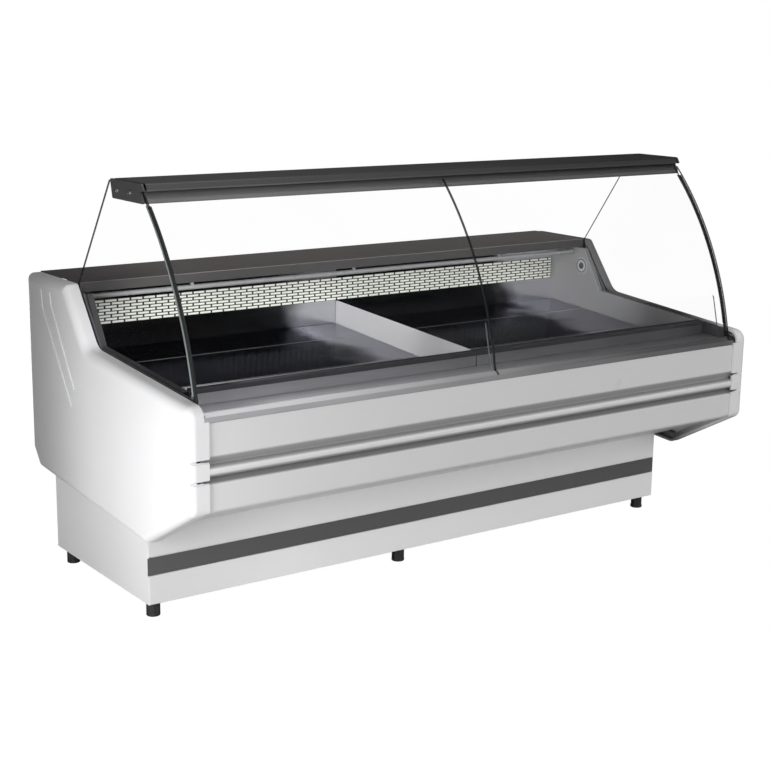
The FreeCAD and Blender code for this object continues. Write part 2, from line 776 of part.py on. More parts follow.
def lip_edge_strip():
    """Black cap profile along the top of the upstand."""
    corners = [(-381.0, 692.0), (-381.0, 706.0, 3), (-357.0, 706.0, 3), (-357.0, 697.3),
               (LIP_FACE - 0.3, 697.3), (LIP_FACE - 0.3, 692.0)]
    return prism(corners, -WALL_IN + 1, WALL_IN - 1)


def front_worktop():
    """Polished ledge between the upstand and the glass, with the guard's channel."""
    edge = -456.0
    path = [(-370.0, FRONT_TOP), (edge, LEDGE_FRONT, 2.5), (edge, 632.0)]
    sheet = folded(path, STAINLESS, -INSULATION_END, INSULATION_END)
    channel = box(GUARD_ENDS[0] - 1, GUARD_ENDS[1] + 2, edge + 0.5, -443.0, 634.0,
                  LEDGE_FRONT - 0.5)
    return join([sheet, channel]).cut(guard_blank(2.6))


def guard_blank(half_thickness):
    """Leaning pane, used for the guard glass and for the slot that holds it."""
    low = -15.0
    high = 146.0
    half = half_thickness
    corners = [(-half, low), (half, low), (half, high), (-half, high)]
    blank = prism(corners, *GUARD_ENDS)
    blank.rotate(ORIGIN, X_AXIS, -GUARD_LEAN)
    blank.translate(vec(0, *GUARD_FOOT))
    return blank


def guard_glass():
    """Low clear guard in front of the right-hand bay."""
    pane = guard_blank(2.5)
    corner = [edge for edge in pane.Edges
              if edge.BoundBox.XLength < 1e-6 and edge.BoundBox.YLength < 6
              and edge.BoundBox.XMin > GUARD_ENDS[1] - 1 and edge.BoundBox.ZMin > 780]
    return pane.makeFillet(8.0, corner)


def front_panel():
    """Painted front: upper face, groove for the bumper, lower face and chamfer."""
    path = [(-493.5, 655.5), (PANEL_FACE, 643.0, 3), (PANEL_FACE, 556.0, 4),
            (-486.0, 534.0, 3), (GROOVE_DEEP, BUMPER_Z), (-486.0, 494.0, 3), (PANEL_FACE, 478.0, 4),
            (PANEL_FACE, 403.0, 12), (PLINTH_FRONT - 3, 270.3)]
    return folded(path, PAINTED_SHEET, -PANEL_END, PANEL_END)


def bumper_tube():
    """Round bumper that stands in the groove."""
    end = NOSE_IN - 0.5
    tube = rod(-end, BUMPER_Y, BUMPER_Z, X_AXIS, BUMPER_R, 2 * end)
    bore = rod(-end - 1, BUMPER_Y, BUMPER_Z, X_AXIS, BUMPER_R - 2, 2 * end + 2)
    behind = box(-end - 1, end + 1, -487.5, BUMPER_Y + BUMPER_R + 1,
                 BUMPER_Z - BUMPER_R - 1, BUMPER_Z + BUMPER_R + 1)
    return tube.cut([bore, behind])


# ============================================================ worktop and cheeks
def worktop():
    """Serving-side worktop, folded down along both long edges."""
    path = [(REAR, WORKTOP_UNDER), (REAR, WORKTOP_TOP, 2), (WORKTOP_FRONT, WORKTOP_TOP, 2),
            (WORKTOP_FRONT, WORKTOP_UNDER, 2), (WORKTOP_FRONT + 20, WORKTOP_UNDER)]
    return folded(path, PAINTED_SHEET, -PANEL_END, PANEL_END)


def under_worktop_lamp():
    """Slim tube light under the front edge of the worktop, in two sockets."""
    y = LAMP_Y
    z = LAMP_Z
    half = 925.0
    socket = 20.0
    tube = rod(-half, y, z, X_AXIS, 7.5, 2 * half)
    sockets = [rod(x, y, z, X_AXIS, 9.5, socket) for x in (-half - socket, half)]
    clips = [box(x - 4, x + 4, y - 4, y + 4, z + 6, WORKTOP_UNDER) for x in (-600, -7, 600)]
    return join([tube] + sockets + clips)


def cheek_corners():
    return [(REAR, 902.0, 8), ARM_TOP + (14,), ARM_CROOK + (60,), ARM_FRONT + (36,),
            BELLY_FRONT + (25,), BELLY_LOW + (40,), BELLY_REAR + (20,), (REAR, BELLY_BACK, 10)]


def end_cheek(side):
    """Moulded end cheek: a rounded shell, open towards the tub."""
    skin_out = HALF_LENGTH - 2.5
    solid = prism(cheek_corners(), CHEEK_IN, skin_out)
    rims = [edge for edge in solid.Edges if edge.BoundBox.XMin > skin_out - 1e-3]
    solid = solid.makeFillet(CHEEK_ROUND, rims)
    hollow = prism(shifted_corners(cheek_corners(), 8.0, True), CHEEK_IN - 1, CHEEK_IN + 20)
    pocket = prism(shifted_corners(cheek_corners(), 26.0, True), CHEEK_IN - 1,
                   skin_out - CHEEK_WALL)
    ridge_length = 24.0
    ridge = rod(CHEEK_IN, BUMPER_Y, BUMPER_Z, X_AXIS, BUMPER_R, ridge_length)
    knob = Part.makeSphere(BUMPER_R, vec(CHEEK_IN + ridge_length, BUMPER_Y, BUMPER_Z))
    solid = solid.fuse(cheek_nose())
    grooves = [prism([(FRONT - 4, z - 8), (PANEL_FACE + 6.5, z, 3), (FRONT - 4, z + 8)],
                     NOSE_IN - 1, HALF_LENGTH) for z in (BUMPER_Z - 26, BUMPER_Z + 30)]
    solid = solid.cut(grooves)
    shell = solid.fuse([ridge, knob] + cheek_ribs(skin_out)).cut([hollow, pocket])
    return shell if side > 0 else mirrored(shell)


def cheek_nose():
    """Lip of the cheek that laps over the end of the front panel."""
    nose = prism(cheek_corners(), NOSE_IN, CHEEK_IN + 1)
    front = box(NOSE_IN, CHEEK_IN + 1, FRONT, PANEL_FACE - 0.4, BELLY_FRONT[1], NOSE_TOP)
    return nose.common(front)


def cheek_ribs(face):
    """Two slim raised ribs that bend with the silhouette of the cheek."""
    paths = [[(331.0, 868.0), (325.0, 833.0, 20), (196.0, 628.0, 6), (180.0, 607.0)],
             [(393.0, 868.0), (388.0, 815.0, 20), (218.0, 574.0, 6), (203.0, 553.0)]]
    return [folded(path, 9.0, face - 3, face + 2.5) for path in paths]


def cheek_liners():
    """Dark plates that clamp the side glasses to the cheeks."""
    corners = [(-456.0, 689.5, 3), (108.0, 733.0), (217.0, WORKTOP_UNDER - 0.3),
               (REAR_SKIN - 4, WORKTOP_UNDER - 0.3), (REAR_SKIN - 4, 600.0), (-456.0, 600.0)]
    return both_sides(prism(corners, LINER_IN, GLASS_IN - 0.2))


# ============================================================== glass and canopy
def side_glass():
    """Clear end pane, drilled for the canopy screws."""
    radius = ARC_R - 2 * GLASS - 1
    top = 1219.0
    foot_z = 664.0
    corners = [vec(0, 13, top), vec(0, 236.5, 902), vec(0, 236.5, 866), vec(0, 126, 706)]
    edges = [line_edge(a, b) for a, b in zip(corners[:-1], corners[1:])]
    edges.append(line_edge(corners[-1], arc_point(foot_z, radius)))
    edges.append(arc_edge(foot_z, top, radius))
    edges.append(line_edge(arc_point(top, radius), corners[0]))
    pane = extruded(edges, GLASS_IN, CHEEK_IN)
    holes = [rod(GLASS_IN - 1, y, CANOPY_SCREW_Z, X_AXIS, 5.5, GLASS + 2)
             for y in CANOPY_SCREW_Y]
    return pane.cut(group(holes))


def side_glasses():
    return both_sides(side_glass())


def front_glass(side):
    """Curved, toughened front pane of one bay."""
    inner = ARC_R - GLASS
    edges = [arc_edge(GLASS_FOOT, GLASS_TOP, ARC_R), arc_edge(GLASS_FOOT, GLASS_TOP, inner)]
    for z in (GLASS_FOOT, GLASS_TOP):
        edges.append(line_edge(arc_point(z, ARC_R), arc_point(z, inner)))
    pane = extruded(edges, 2.0, PANEL_END)
    return pane if side > 0 else mirrored(pane)


def glass_foot(side):
    """Clamp profile under the pane, with the barrel that it turns on."""
    x0 = 4.0
    x1 = LINER_IN - 3.0
    barrel = rod(x0, HINGE_Y, HINGE_Z, X_AXIS, BARREL_R, x1 - x0)
    jaws = prism([(-485.0, 654.0), (-474.0, 663.5, 1.5), (-464.0, 663.5, 1.5),
                  (-457.5, LEDGE_FRONT - 0.5, 1), (-457.5, 646.0), (-470.0, 636.0)], x0, x1)
    inner = ARC_R - GLASS
    top = 670.0
    edges = [arc_edge(GLASS_FOOT, top, ARC_R), arc_edge(GLASS_FOOT, top, inner)]
    for z in (GLASS_FOOT, top):
        edges.append(line_edge(arc_point(z, ARC_R), arc_point(z, inner)))
    groove = extruded(edges, x0 - 1, x1 + 1)
    bore = rod(x0 - 1, HINGE_Y, HINGE_Z, X_AXIS, HINGE_PIN_R + RUNNING_FIT, x1 - x0 + 2)
    profile = join([barrel, jaws]).cut([groove, bore])
    return profile if side > 0 else mirrored(profile)


def glass_hinge_brackets():
    """Plates with fixed pins at both ends and in the middle of the glass."""
    def plate(x0, x1):
        ear = rod(x0, HINGE_Y, HINGE_Z, X_AXIS, 7.0, x1 - x0)
        stem = box(x0, x1, HINGE_Y - 1, HINGE_Y + 8, GUTTER_TOP, HINGE_Z)
        return join([ear, stem])
    middle = join([plate(-1.5, 1.5), rod(-30, HINGE_Y, HINGE_Z, X_AXIS, HINGE_PIN_R, 60)])
    end = join([plate(LINER_IN - 1, LINER_IN + 5),
                rod(LINER_IN - 30, HINGE_Y, HINGE_Z, X_AXIS, HINGE_PIN_R, 31)])
    return group([middle, end, mirrored(end)])


def canopy_corners():
    """Outer section of the canopy, with a recess that clears the glass."""
    return [(-6.0, HEIGHT, 5), (-193.0, HEIGHT, 9), (-205.0, 1205.5, 3), (-184.0, 1204.0, 1),
            (-197.0, 1184.0, 2), (-200.5, CANOPY_UNDER, 3), (-18.0, CANOPY_UNDER, 5)]


def canopy_beam():
    """Hollow aluminium beam over the display, with screw ports."""
    wall = 2.0
    end = GLASS_IN - 0.3
    shell = prism(canopy_corners(), -end, end)
    hollow = prism(shifted_corners(canopy_corners(), wall, True), -end - 1, end + 1)
    beam = shell.cut(hollow)
    webs = []
    ports = []
    for y in CANOPY_SCREW_Y:
        webs.append(box(-end, end, y - 8, y + 8, CANOPY_UNDER + 0.5, HEIGHT - 0.5))
        for start in (-end - 1, end - 39):
            ports.append(rod(start, y, CANOPY_SCREW_Z, X_AXIS, CANOPY_SCREW_R, 40))
    return join([beam] + webs).cut(group(ports))


def canopy_end_caps():
    """Dark caps that close the canopy outside the side glasses."""
    face = CHEEK_IN + CAP_THICKNESS
    plate = prism(canopy_corners(), CHEEK_IN + 0.2, face)
    outer = [edge for edge in plate.Edges if edge.BoundBox.XMin > face - 1e-3]
    plate = plate.makeFillet(0.8, outer)
    holes = [rod(CHEEK_IN, y, CANOPY_SCREW_Z, X_AXIS, CANOPY_SCREW_R + 0.3, 10)
             for y in CANOPY_SCREW_Y]
    return both_sides(plate.cut(group(holes)))


def canopy_screws():
    """Round-headed screws through the caps and the glass into the beam."""
    tip = GLASS_IN - 30
    face = CHEEK_IN + CAP_THICKNESS
    screws = []
    for y in CANOPY_SCREW_Y:
        shank = rod(tip, y, CANOPY_SCREW_Z, X_AXIS, CANOPY_SCREW_R, face - tip)
        head = rod(face, y, CANOPY_SCREW_Z, X_AXIS, 6.5, 4)
        outer = [edge for edge in head.Edges if edge.BoundBox.XMin > face + 3.9]
        head = head.makeFillet(1.5, outer)
        socket = rod(face + 1.5, y, CANOPY_SCREW_Z, X_AXIS, 2.5, 3)
        screws.append(join([shank, head]).cut(socket))
    return group(screws + [mirrored(s) for s in screws])


# ================================================================ rear of the case
def rear_door(side):
    """Insulated door with a turned-out grip and a sealing ring on its back."""
    x0 = DOOR_GAP
    x1 = DOOR_GAP + DOOR_WIDTH
    panel = box(x0, x1, DOOR_BACK, DOOR_FACE, DOOR_LOW, DOOR_HIGH)
    outer = [edge for edge in panel.Edges if edge.BoundBox.YMin > DOOR_FACE - 1e-3]
    panel = panel.makeFillet(2.5, outer)
    grip = prism([(DOOR_FACE - 1, 470.0), (REAR - 1, 474.0, 2), (REAR - 1, 554.0, 2),
                  (DOOR_FACE - 1, 558.0)], x0 + 22, x0 + 44)
    hinge_x = x1 - DOOR_PIN_INSET
    bores = [rod(hinge_x, DOOR_PIN_Y, z, Z_AXIS, DOOR_PIN_R + RUNNING_FIT, 16)
             for z in (DOOR_LOW - 1, DOOR_HIGH - 15)]
    outer_edge = 14.0
    inner_edge = outer_edge + 10.0
    ring = box(x0 + outer_edge, x1 - outer_edge, REAR_SKIN + 0.3, DOOR_BACK,
               DOOR_LOW + outer_edge, DOOR_HIGH - outer_edge)
    ring = ring.cut(box(x0 + inner_edge, x1 - inner_edge, REAR_SKIN, DOOR_BACK + 1,
                        DOOR_LOW + inner_edge, DOOR_HIGH - inner_edge))
    door = group([join([panel, grip]).cut(group(bores)), ring])
    return door if side > 0 else mirrored(door)


def door_hinges():
    """Four brackets with fixed pins that the rear doors turn on."""
    hinge_x = DOOR_GAP + DOOR_WIDTH - DOOR_PIN_INSET
    pieces = []
    for z_plate, z_pin in ((DOOR_LOW - 5, DOOR_LOW - 1.0), (DOOR_HIGH + 1, DOOR_HIGH - 13)):
        plate = box(hinge_x - 12, hinge_x + 12, REAR_SKIN, DOOR_PIN_Y + 8, z_plate, z_plate + 4)
        pin = rod(hinge_x, DOOR_PIN_Y, z_pin, Z_AXIS, DOOR_PIN_R, 14)
        pieces.append(join([plate, pin]))
    return group(pieces + [mirrored(p) for p in pieces])


def control_panel():
    """Housing with a display window, two key holes and a switch pocket."""
    half_width = 110.0
    half_height = 38.0
    body = box(CONTROL_X - half_width, CONTROL_X + half_width, REAR_SKIN, CONTROL_FACE,
               CONTROL_Z - half_height, CONTROL_Z + half_height)
    rim = [edge for edge in body.Edges if edge.BoundBox.YMin > CONTROL_FACE - 1e-3]
    body = body.makeFillet(3.0, rim)
    window = box(CONTROL_X - 10, CONTROL_X + 50, CONTROL_FACE - 1.5, CONTROL_FACE + 1,
                 CONTROL_Z - 14, CONTROL_Z + 20)
    cuts = [window, rocker_pocket()]
    for x, z in KEY_PLACES.values():
        cuts.append(box(x - KEY_HALF_X - KEY_GAP, x + KEY_HALF_X + KEY_GAP, CONTROL_FACE - 7,
                        CONTROL_FACE + 1, z - KEY_HALF_Z - KEY_GAP, z + KEY_HALF_Z + KEY_GAP))
    return body.cut(group(cuts))


def key(name):
    """Push key that stands proud of the panel."""
    x, z = KEY_PLACES[name]
    cap = box(x - KEY_HALF_X, x + KEY_HALF_X, CONTROL_FACE - 4, CONTROL_FACE + 2,
              z - KEY_HALF_Z, z + KEY_HALF_Z)
    rim = [edge for edge in cap.Edges if edge.BoundBox.YMin > CONTROL_FACE + 2 - 1e-3]
    return cap.makeFillet(1.0, rim)


def rocker_pocket():
    return box(ROCKER_X - 11.5, ROCKER_X + 11.5, CONTROL_FACE - 8, CONTROL_FACE + 1,
               CONTROL_Z - 15.5, CONTROL_Z + 15.5)


def power_switch():
    """Rocker, drawn in its off position."""
    corners = [(-5.0, -5.0, 2), (-5.0, 5.0, 2), (2.5, 13.5, 1), (3.5, 0.0), (2.5, -13.5, 1)]
    rocker = prism(corners, ROCKER_X - 10.5, ROCKER_X + 10.5)
    rocker = rocker.fuse(rod(ROCKER_X - 11.2, 0, 0, X_AXIS, ROCKER_PIN_R, 22.4))
    rocker.rotate(ORIGIN, X_AXIS, ROCKER_TILT)
    rocker.translate(vec(0, CONTROL_FACE - 2, CONTROL_Z))
    return rocker


# ====================================================================== all nodes
def nodes():
    """Every node's name and shape."""
    parts = {
        "base_frame": base_frame(),
        "plinth_front": plinth_front(),
        "plinth_band": plinth_band(),
        "plinth_sides": plinth_sides(),
        "plinth_rear_grille": plinth_rear_grille(),
        "cable_gland": cable_gland(),
        "compressor": compressor(),
        "condenser_coil": condenser_coil(),
        "condenser_fan_shroud": condenser_fan_shroud(),
        "condenser_fan_rotor": condenser_fan_rotor(),
        "refrigerant_pipes": refrigerant_pipes(),
        "tub_shell": tub_shell(),
        "tub_foam": tub_foam(),
        "tub_liner": tub_liner(),
        "evaporator_coil": evaporator_coil(),
        "evaporator_fan_panel": evaporator_fan_panel(),
        "evaporator_fan_left": evaporator_fan(-FAN_X),
        "evaporator_fan_right": evaporator_fan(FAN_X),
        "deck_bearers": deck_bearers(),
        "end_walls": end_walls(),
        "bay_divider": bay_divider(),
        "rear_wall": rear_wall(),
        "air_grille": air_grille(),
        "front_lip": front_lip(),
        "lip_edge_strip": lip_edge_strip(),
        "front_worktop": front_worktop(),
        "front_panel": front_panel(),
        "bumper_tube": bumper_tube(),
        "worktop": worktop(),
        "under_worktop_lamp": under_worktop_lamp(),
        "cheek_liners": cheek_liners(),
        "side_glasses": side_glasses(),
        "glass_hinge_brackets": glass_hinge_brackets(),
        "canopy_beam": canopy_beam(),
        "canopy_end_caps": canopy_end_caps(),
        "canopy_screws": canopy_screws(),
        "guard_glass": guard_glass(),
        "door_hinges": door_hinges(),
        "control_panel": control_panel(),
        "power_switch": power_switch(),
        "key_up": key("up"),
        "key_down": key("down"),
    }
    for side_name, side in (("left", -1), ("right", 1)):
        parts["end_cheek_" + side_name] = end_cheek(side)
        parts["front_glass_" + side_name] = front_glass(side)
        parts["glass_foot_" + side_name] = glass_foot(side)
        parts["rear_door_" + side_name] = rear_door(side)
        parts["deck_tray_" + side_name + "_rear"] = deck_tray(side, DECK_SEAM + TRAY_GAP, DECK_REAR)
        parts["deck_tray_" + side_name + "_front"] = deck_tray(side, SHELF_SEAM + TRAY_GAP,
                                                               DECK_SEAM - TRAY_GAP)
    for row, y in FOOT_Y.items():
        for place, x in FOOT_X.items():
            parts["foot_" + row + "_" + place] = foot(x, y)
    return parts


def main():
    os.makedirs("parts", exist_ok=True)
    for name, shape in nodes().items():
        shape.exportStep("parts/" + name + ".step")
        print(name, len(shape.Solids), "solids, valid", shape.isValid(),
              "volume", round(shape.Volume / 1000.0), "cm3")


main()
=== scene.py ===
"""Looks of a serve-over refrigerated deli counter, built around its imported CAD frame."""

import math

import bmesh
import bpy
from mathutils import Matrix, Vector

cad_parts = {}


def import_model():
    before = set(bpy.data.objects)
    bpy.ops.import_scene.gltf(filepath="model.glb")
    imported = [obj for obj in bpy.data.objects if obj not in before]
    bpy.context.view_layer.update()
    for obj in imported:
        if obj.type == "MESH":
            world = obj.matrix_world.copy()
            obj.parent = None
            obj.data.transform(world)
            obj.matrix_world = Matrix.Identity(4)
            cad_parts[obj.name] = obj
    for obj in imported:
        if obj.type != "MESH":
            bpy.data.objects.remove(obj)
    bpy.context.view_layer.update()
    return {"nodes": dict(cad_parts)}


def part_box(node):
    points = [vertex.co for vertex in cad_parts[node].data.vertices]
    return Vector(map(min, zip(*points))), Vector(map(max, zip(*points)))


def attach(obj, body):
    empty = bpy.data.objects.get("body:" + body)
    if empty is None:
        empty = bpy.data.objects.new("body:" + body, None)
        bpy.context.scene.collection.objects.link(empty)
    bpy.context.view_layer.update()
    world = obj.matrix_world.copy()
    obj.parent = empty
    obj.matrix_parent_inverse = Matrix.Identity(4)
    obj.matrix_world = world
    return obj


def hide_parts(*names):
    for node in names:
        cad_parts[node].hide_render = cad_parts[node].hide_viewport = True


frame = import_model()
NODES = frame["nodes"]

# ------------------------------------------------------------------- camera
CAMERA_AT = Vector((-2.815, -3.874, 1.621))
CAMERA_YAW = math.radians(-35.42)
CAMERA_PITCH = math.radians(-12.85)
CAMERA_ROLL = math.radians(0.734)
CAMERA_LENS = 72.46

# ------------------------------------------------------- curve of the front glass
ARC_Y = 0.518
ARC_Z = 0.498
ARC_R = 1.003
GLASS_THICK = 0.006
SEAL_HEIGHTS = (0.668, 1.168)
SIDE_EDGE_HEIGHTS = (0.705, 1.168)

# ------------------------------------------------------------ the rest of the case
DECK_AT_ZERO = 0.6462           # height of the sloped deck where Y is 0
DECK_SLOPE = math.tan(math.radians(3.856))
BAY_END = 0.95                  # right-hand bay's end wall; the left bay ends at X = 0
PAINTED_SHEEN_REACH = (0.19, 0.24)            # how far the painted reflection on the deck reaches, left and right bay
# The front panel's face and groove; they also bound the painted shade in the groove.
PANEL_FACE = -0.5005
GROOVE_FLOOR = -0.496           # groove of the front panel, behind the bumper tube
GROOVE_Z = 0.514
GROOVE_HALF = 0.05
COVER_CENTRE = (0.212, 0.812)   # round covers on the inner faces of the end walls
COVER_FACE = 0.9466
COVER_RINGS = ((0.0215, 0.0245), (0.0, 0.0115))

# --------------------------------------------------- how much the glass hides: 0 to 1
FACE_ALPHA = (0.006, 0.010)
EDGE_ALPHA = 0.92

# --------------------------------------------------------------- light of the studio
FRONT_STRENGTH = 1.42
REAR_STRENGTH = 0.03
FLOOR_GLOW = 1.07
FLOOR_GLOW_SHARE = 0.93

CABINET = "cabinet"


# =================================================================== node helpers
def new_material(name):
    """A material with an empty node tree but for its output and Principled shader."""
    material = bpy.data.materials.new(name)
    material.use_nodes = True
    tree = material.node_tree
    tree.nodes.clear()
    output = tree.nodes.new("ShaderNodeOutputMaterial")
    shader = tree.nodes.new("ShaderNodeBsdfPrincipled")
    tree.links.new(shader.outputs[0], output.inputs[0])
    return material, tree, shader


def stretched_coordinates(tree, scale):
    """Object coordinates, scaled apart along each axis."""
    coordinates = tree.nodes.new("ShaderNodeTexCoord")
    mapping = tree.nodes.new("ShaderNodeMapping")
    mapping.inputs["Scale"].default_value = scale
    tree.links.new(coordinates.outputs["Object"], mapping.inputs["Vector"])
    return mapping.outputs["Vector"]


def noise(tree, scale, detail=3.0, stretch=(1, 1, 1)):
    """Noise between 0 and 1."""
    node = tree.nodes.new("ShaderNodeTexNoise")
    node.inputs["Scale"].default_value = scale
    node.inputs["Detail"].default_value = detail
    tree.links.new(stretched_coordinates(tree, stretch), node.inputs["Vector"])
    return node.outputs["Fac"]


def axes(tree, space="Object"):
    """Sockets named X, Y and Z: where a point is or, in a world, which way a ray goes."""
    coordinates = tree.nodes.new("ShaderNodeTexCoord")
    parts = tree.nodes.new("ShaderNodeSeparateXYZ")
    tree.links.new(coordinates.outputs[space], parts.inputs[0])
    return parts.outputs


def carried(tree, value, source, target=(0.0, 1.0), smooth=False):
    """A value carried from one span onto another, and held at its ends."""
    node = tree.nodes.new("ShaderNodeMapRange")
    if smooth:
        node.interpolation_type = "SMOOTHSTEP"
    node.inputs["From Min"].default_value = source[0]
    node.inputs["From Max"].default_value = source[1]
    node.inputs["To Min"].default_value = target[0]
    node.inputs["To Max"].default_value = target[1]
    tree.links.new(value, node.inputs["Value"])
    return node.outputs["Result"]


def ranged(tree, value, low, high):
    """Noise, which seldom leaves 0.3 to 0.7, spread between two limits."""
    return carried(tree, value, (0.3, 0.7), (low, high))


def blended(tree, value, color_a, color_b):
    """A colour between two colours."""
    node = tree.nodes.new("ShaderNodeMix")
    node.data_type = "RGBA"
    node.inputs["A"].default_value = (*color_a, 1)
    node.inputs["B"].default_value = (*color_b, 1)
    tree.links.new(value, node.inputs["Factor"])
    return node.outputs["Result"]


def bumped(tree, shader, height, strength, distance):
    """Raise the surface by a height value."""
    node = tree.nodes.new("ShaderNodeBump")
    node.inputs["Strength"].default_value = strength
    node.inputs["Distance"].default_value = distance
    tree.links.new(height, node.inputs["Height"])
    tree.links.new(node.outputs["Normal"], shader.inputs["Normal"])


def maths(tree, operation, a, b):
    """One arithmetic step on two sockets or numbers."""
    node = tree.nodes.new("ShaderNodeMath")
    node.operation = operation
    for socket, value in zip(node.inputs, (a, b)):
        if isinstance(value, (int, float)):
            socket.default_value = value
        else:
            tree.links.new(value, socket)
    return node.outputs[0]


def shade(color, factor):
    """A colour made lighter or darker."""
    return tuple(min(1.0, channel * factor) for channel in color)


def multiply_color(material, factor):
    """Multiply the colour that a material has so far by a socket's value."""
    tree = material.node_tree
    color = tree.nodes["Principled BSDF"].inputs["Base Color"]
    scaled = tree.nodes.new("ShaderNodeVectorMath")
    scaled.operation = "SCALE"
    tree.links.new(color.links[0].from_socket, scaled.inputs[0])
    tree.links.new(factor, scaled.inputs["Scale"])
    tree.links.new(scaled.outputs[0], color)


# ====================================================================== materials
def painted(name, color, roughness=0.35, coat=0.0, variation=0.04):
    """Powder coat: slow colour drift and uneven gloss."""
    material, tree, shader = new_material(name)
    drift = noise(tree, 2.2, 4)
    tone = blended(tree, drift, shade(color, 1 - variation), shade(color, 1 + variation))
    tree.links.new(tone, shader.inputs["Base Color"])
    tree.links.new(ranged(tree, noise(tree, 6, 5), roughness * 0.85, roughness * 1.2),
                   shader.inputs["Roughness"])
    shader.inputs["Coat Weight"].default_value = coat
    shader.inputs["Coat Roughness"].default_value = 0.12
    return material


def toned_along(material, axis, start, end, low, high):
    """Multiply the colour by a factor that runs from low to high along an axis."""
    tree = material.node_tree
    place = axes(tree)[axis]
    multiply_color(material, carried(tree, place, (start, end), (low, high), smooth=True))


def stepped_along(material, axis, stops):
    """Multiply the colour by a factor given at several places, in metres, along an axis."""
    tree = material.node_tree
    start = stops[0][0]
    end = stops[-1][0]
    ramp = tree.nodes.new("ShaderNodeValToRGB")
    tree.links.new(carried(tree, axes(tree)[axis], (start, end)), ramp.inputs["Fac"])
    marks = ramp.color_ramp.elements
    while len(marks) < len(stops):
        marks.new(0.5)
    for mark, (place, factor) in zip(marks, stops):
        mark.position = (place - start) / (end - start)
        mark.color = (factor / 2, factor / 2, factor / 2, 1)
    multiply_color(material, maths(tree, "MULTIPLY", ramp.outputs["Color"], 2.0))


def brushed(name, color, roughness=0.2, streaks=(3, 300, 300), metallic=1.0):
    """Brushed stainless: long streaks in its colour, and uneven gloss."""
    material, tree, shader = new_material(name)
    shader.inputs["Metallic"].default_value = metallic
    lines = noise(tree, 1.0, 3, streaks)
    smudges = noise(tree, 5.0, 4)
    tone = blended(tree, lines, shade(color, 0.93), shade(color, 1.06))
    tree.links.new(tone, shader.inputs["Base Color"])
    tree.links.new(ranged(tree, smudges, roughness * 0.75, roughness * 1.3),
                   shader.inputs["Roughness"])
    return material


def deck_with_painted_reflection(name):
    """Polished stainless, dark but for a painted reflection: a brighter band beside each bay's
    right-hand wall.
    """
    material = brushed(name, (0.9, 0.9, 0.95), 0.17)
    tree = material.node_tree
    shader = tree.nodes["Principled BSDF"]
    shader.inputs["Specular Tint"].default_value = (0.42, 0.42, 0.45, 1)
    # Painted reflection of the bright wall beside each bay, cloudy at its edge and stronger in
    # the right bay.
    x = axes(tree)["X"]
    right_bay = maths(tree, "GREATER_THAN", x, 0.0)
    from_wall = maths(tree, "SUBTRACT", maths(tree, "MULTIPLY", right_bay, BAY_END), x)
    left, right = PAINTED_SHEEN_REACH
    width = maths(tree, "ADD", left, maths(tree, "MULTIPLY", right_bay, right - left))
    reach = maths(tree, "SUBTRACT", width, from_wall)
    cloud = maths(tree, "MULTIPLY", maths(tree, "SUBTRACT", noise(tree, 6.0, 2), 0.5), 0.3)
    fade = (-0.05, 0.10)
    dark_to_bright = (0.045, 0.75)
    painted_sheen = carried(tree, maths(tree, "ADD", reach, cloud), fade, dark_to_bright, smooth=True)
    right_bay_painted_boost = maths(tree, "ADD", 1.0, maths(tree, "MULTIPLY", right_bay, 0.4))
    multiply_color(material, maths(tree, "MULTIPLY", painted_sheen, right_bay_painted_boost))
    return material


def plastic(name, color, roughness=0.4, grain_scale=400, grain=0.05, variation=0.05):
    """Moulded plastic with a fine eroded grain."""
    material, tree, shader = new_material(name)
    tone = blended(tree, noise(tree, 9, 4), shade(color, 1 - variation),
                   shade(color, 1 + variation))
    tree.links.new(tone, shader.inputs["Base Color"])
    tree.links.new(ranged(tree, noise(tree, 14, 4), roughness * 0.85, roughness * 1.2),
                   shader.inputs["Roughness"])
    if grain > 0:
        bumped(tree, shader, noise(tree, grain_scale, 2), grain, 0.0003)
    return material


def pane(name, color, edge_on_x, edge_on_top):
    """Toughened glass, all but invisible on its faces, with polished edges that show.

    The edges look along X (or, on the end panes, across it), and up on the guard glass.
    """
    material, tree, shader = new_material(name)
    haze = noise(tree, 3.0, 3)
    shader.inputs["Roughness"].default_value = 0.08
    shader.inputs["Specular IOR Level"].default_value = 0.06
    geometry = tree.nodes.new("ShaderNodeNewGeometry")
    facing = tree.nodes.new("ShaderNodeSeparateXYZ")
    tree.links.new(geometry.outputs["True Normal"], facing.inputs[0])
    across = maths(tree, "ABSOLUTE", facing.outputs["X"], 0.0)
    edge = maths(tree, "GREATER_THAN" if edge_on_x else "LESS_THAN", across, 0.5)
    if edge_on_top:
        up = maths(tree, "GREATER_THAN", facing.outputs["Z"], 0.8)
        edge = maths(tree, "MAXIMUM", edge, up)
    edge_alpha = maths(tree, "MULTIPLY", edge, EDGE_ALPHA)
    face_alpha = ranged(tree, haze, *FACE_ALPHA)
    tree.links.new(maths(tree, "MAXIMUM", edge_alpha, face_alpha), shader.inputs["Alpha"])
    tone = blended(tree, haze, shade(color, 0.85), shade(color, 1.15))
    tree.links.new(tone, shader.inputs["Base Color"])
    return material


def grooved_panel():
    """White paint with painted shade inside the groove behind the bumper tube, darker still
    below it.
    """
    material = painted("front_panel_paint", (0.80, 0.80, 0.80), 0.32, coat=0.15, variation=0.012)
    tree = material.node_tree
    place = axes(tree)
    away = maths(tree, "ABSOLUTE", maths(tree, "SUBTRACT", place["Z"], GROOVE_Z), 0.0)
    near = maths(tree, "LESS_THAN", away, GROOVE_HALF)
    low_half = maths(tree, "LESS_THAN", place["Z"], GROOVE_Z)
    deep = carried(tree, place["Y"], (PANEL_FACE, GROOVE_FLOOR), (0.0, 0.45))
    extra = maths(tree, "ADD", maths(tree, "MULTIPLY", low_half, 0.6), 1.0)
    dark = maths(tree, "MULTIPLY", maths(tree, "MULTIPLY", deep, extra), near)
    multiply_color(material, maths(tree, "SUBTRACT", 1.0, dark))
    return material


